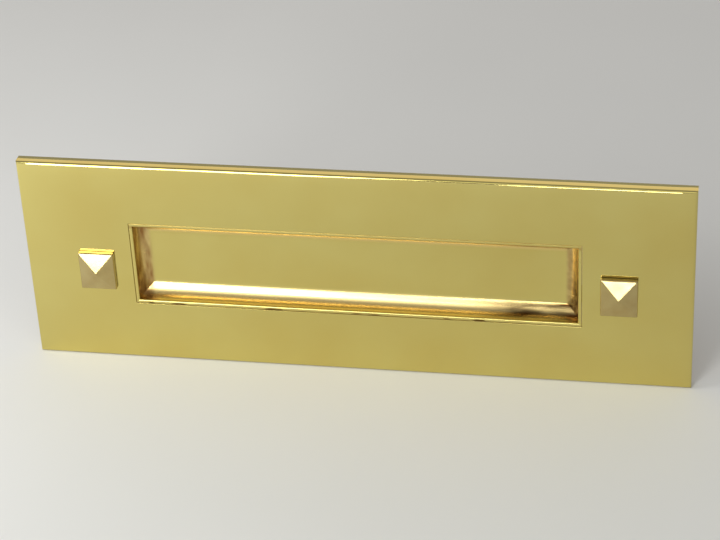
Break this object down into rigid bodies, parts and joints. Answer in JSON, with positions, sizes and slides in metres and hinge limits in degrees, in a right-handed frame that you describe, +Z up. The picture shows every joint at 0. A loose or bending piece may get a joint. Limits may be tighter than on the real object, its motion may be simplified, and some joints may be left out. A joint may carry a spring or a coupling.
{
  "type": "letter plate",
  "caption": "Rectangular brass letter plate for a door, with a recessed flap that swings inward on a sprung hinge and square pyramid heads over its fixing studs.",
  "frame": {"origin": "centre of the plate's rectangular outline, in the plane of its rear rim, which seats on the outer face of the door", "axes": "+Y into the door, so the plate's polished front faces -Y; +Z up; +X along the plate's long side, to the right as seen from the street"},
  "size_m": [0.305, 0.0668, 0.102],
  "materials": {
    "polished_brass": "mirror polished and lacquered",
    "satin_brass": "satin brushed",
    "zinc_steel": "bright zinc plated",
    "spring_steel": "oiled spring steel",
    "rubber": "matt"
  },
  "bodies": {
    "plate": {"front_plate": "polished_brass", "pyramid_head_left": "satin_brass", "pyramid_head_right": "satin_brass", "fixing_stud_left": "zinc_steel", "fixing_stud_right": "zinc_steel", "stud_washer_left": "zinc_steel", "stud_washer_right": "zinc_steel", "stud_nut_left": "zinc_steel", "stud_nut_right": "zinc_steel", "hinge_rod": "zinc_steel", "hinge_bracket_left": "zinc_steel", "hinge_bracket_right": "zinc_steel", "bracket_screw_left_1": "zinc_steel", "bracket_screw_left_2": "zinc_steel", "bracket_screw_right_1": "zinc_steel", "bracket_screw_right_2": "zinc_steel", "rod_clip_left": "spring_steel", "rod_clip_right": "spring_steel", "flap_spring_left": "spring_steel", "flap_spring_right": "spring_steel", "buffer_pad_left": "rubber", "buffer_pad_right": "rubber"},
    "flap": {"flap": "polished_brass", "flap_strap_left": "polished_brass", "flap_strap_right": "polished_brass", "strap_screw_left_1": "zinc_steel", "strap_screw_left_2": "zinc_steel", "strap_screw_right_1": "zinc_steel", "strap_screw_right_2": "zinc_steel"}
  },
  "joints": [
    {"name": "flap_hinge", "type": "hinge", "parent": "plate", "child": "flap", "pos_m": [0, 0.0046, 0.025], "axis": [1, 0, 0], "range_deg": [0, 75], "stiffness_Nm_per_rad": 0.05, "springref_deg": -34.38, "deforming": ["flap_spring_left", "flap_spring_right"]}
  ]
}
